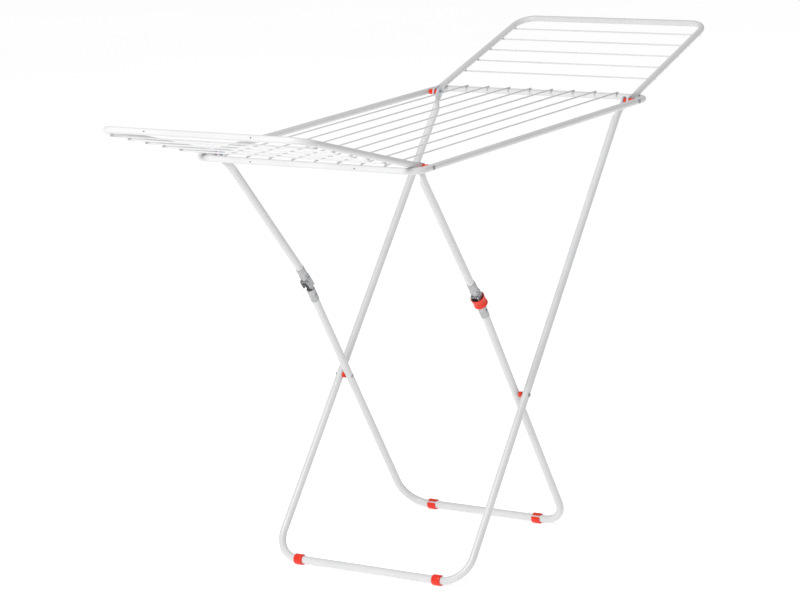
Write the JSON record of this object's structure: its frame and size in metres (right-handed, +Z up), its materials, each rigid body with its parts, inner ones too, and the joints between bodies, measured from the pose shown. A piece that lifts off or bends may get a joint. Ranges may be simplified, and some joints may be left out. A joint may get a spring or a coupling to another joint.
{
  "type": "clothes drying rack",
  "caption": "Folding winged clothes airer: a wire-strung frame on crossed U-shaped tube legs, one pair with a locking knuckle, and a hinged wire wing at each end.",
  "frame": {"origin": "on the floor, under the middle of the main frame", "axes": "+X along the rack from the knuckled leg's end to the other, +Y to the left of that, +Z up"},
  "size_m": [1.6328, 0.5722, 1.0414],
  "materials": {
    "tube": "gloss powder coat",
    "wire": "gloss powder coat",
    "plastic": "satin moulded",
    "bracket": "zinc plated sheet",
    "rivet": "plated"
  },
  "bodies": {
    "main_frame": {"main_frame_tube": "tube", "main_wire_1": "wire", "main_wire_2": "wire", "main_wire_3": "wire", "main_wire_4": "wire", "main_wire_5": "wire", "main_wire_6": "wire", "main_wire_7": "wire", "main_wire_8": "wire", "spacer_outer_near_left": "plastic", "spacer_outer_near_right": "plastic", "spacer_outer_far_left": "plastic", "spacer_outer_far_right": "plastic", "spacer_inner_near_left": "plastic", "spacer_inner_near_right": "plastic", "spacer_inner_far_left": "plastic", "spacer_inner_far_right": "plastic", "hinge_rivet_near_left": "rivet", "hinge_rivet_near_right": "rivet", "hinge_rivet_far_left": "rivet", "hinge_rivet_far_right": "rivet", "stop_pin_near_left": "rivet", "stop_pin_near_right": "rivet", "stop_pin_far_left": "rivet", "stop_pin_far_right": "rivet"},
    "wing_near": {"wing_near_tube": "tube", "wing_near_wire_1": "wire", "wing_near_wire_2": "wire", "wing_near_wire_3": "wire", "wing_near_wire_4": "wire", "wing_near_wire_5": "wire"},
    "wing_far": {"wing_far_tube": "tube", "wing_far_wire_1": "wire", "wing_far_wire_2": "wire", "wing_far_wire_3": "wire", "wing_far_wire_4": "wire", "wing_far_wire_5": "wire"},
    "leg_a": {"leg_a_tube": "tube", "foot_clip_a_left": "plastic", "foot_clip_a_right": "plastic", "crossing_spacer_left": "plastic", "crossing_spacer_right": "plastic", "crossing_rivet_left": "rivet", "crossing_rivet_right": "rivet"},
    "leg_b_upper": {"leg_b_upper_left": "tube", "leg_b_upper_right": "tube", "knuckle_fork_left": "bracket", "knuckle_fork_right": "bracket", "fork_rivet_left": "rivet", "fork_rivet_right": "rivet", "knuckle_pin_left": "rivet", "knuckle_pin_right": "rivet"},
    "leg_b_lower": {"leg_b_lower_tube": "tube", "knuckle_tongue_left": "bracket", "knuckle_tongue_right": "bracket", "tongue_rivet_left": "rivet", "tongue_rivet_right": "rivet", "foot_clip_b_left": "plastic", "foot_clip_b_right": "plastic"},
    "lock_sleeve": {"lock_sleeve": "plastic"}
  },
  "joints": [
    {"name": "leg_a_fold", "type": "hinge", "parent": "main_frame", "child": "leg_a", "pos_m": [0.42, 0, 0.916], "axis": [0, 1, 0], "range_deg": [0, 45.5]},
    {"name": "leg_b_fold", "type": "hinge", "parent": "main_frame", "child": "leg_b_upper", "pos_m": [-0.42, 0, 0.916], "axis": [0, -1, 0], "range_deg": [0, 51]},
    {"name": "knuckle_fold", "type": "hinge", "parent": "leg_b_upper", "child": "leg_b_lower", "pos_m": [-0.19056, 0, 0.59508], "axis": [0, 1, 0], "range_deg": [0, 165]},
    {"name": "sleeve_slide", "type": "slide", "parent": "leg_b_upper", "child": "lock_sleeve", "axis": [-0.6, 0, 0.8], "range_m": [0, 0.091]},
    {"name": "wing_near_fold", "type": "hinge", "parent": "main_frame", "child": "wing_near", "pos_m": [-0.42, 0, 0.916], "axis": [0, 1, 0], "range_deg": [0, 160.5]},
    {"name": "wing_far_fold", "type": "hinge", "parent": "main_frame", "child": "wing_far", "pos_m": [0.42, 0, 0.916], "axis": [0, -1, 0], "range_deg": [0, 160.5]}
  ],
  "couplings": [
    {"joint": "leg_b_fold", "follows": "leg_a_fold", "ratio": 1.1121},
    {"joint": "knuckle_fold", "follows": "leg_a_fold", "ratio": 3.605},
    {"joint": "sleeve_slide", "follows": "leg_a_fold", "m_per_rad": 0.11333}
  ]
}
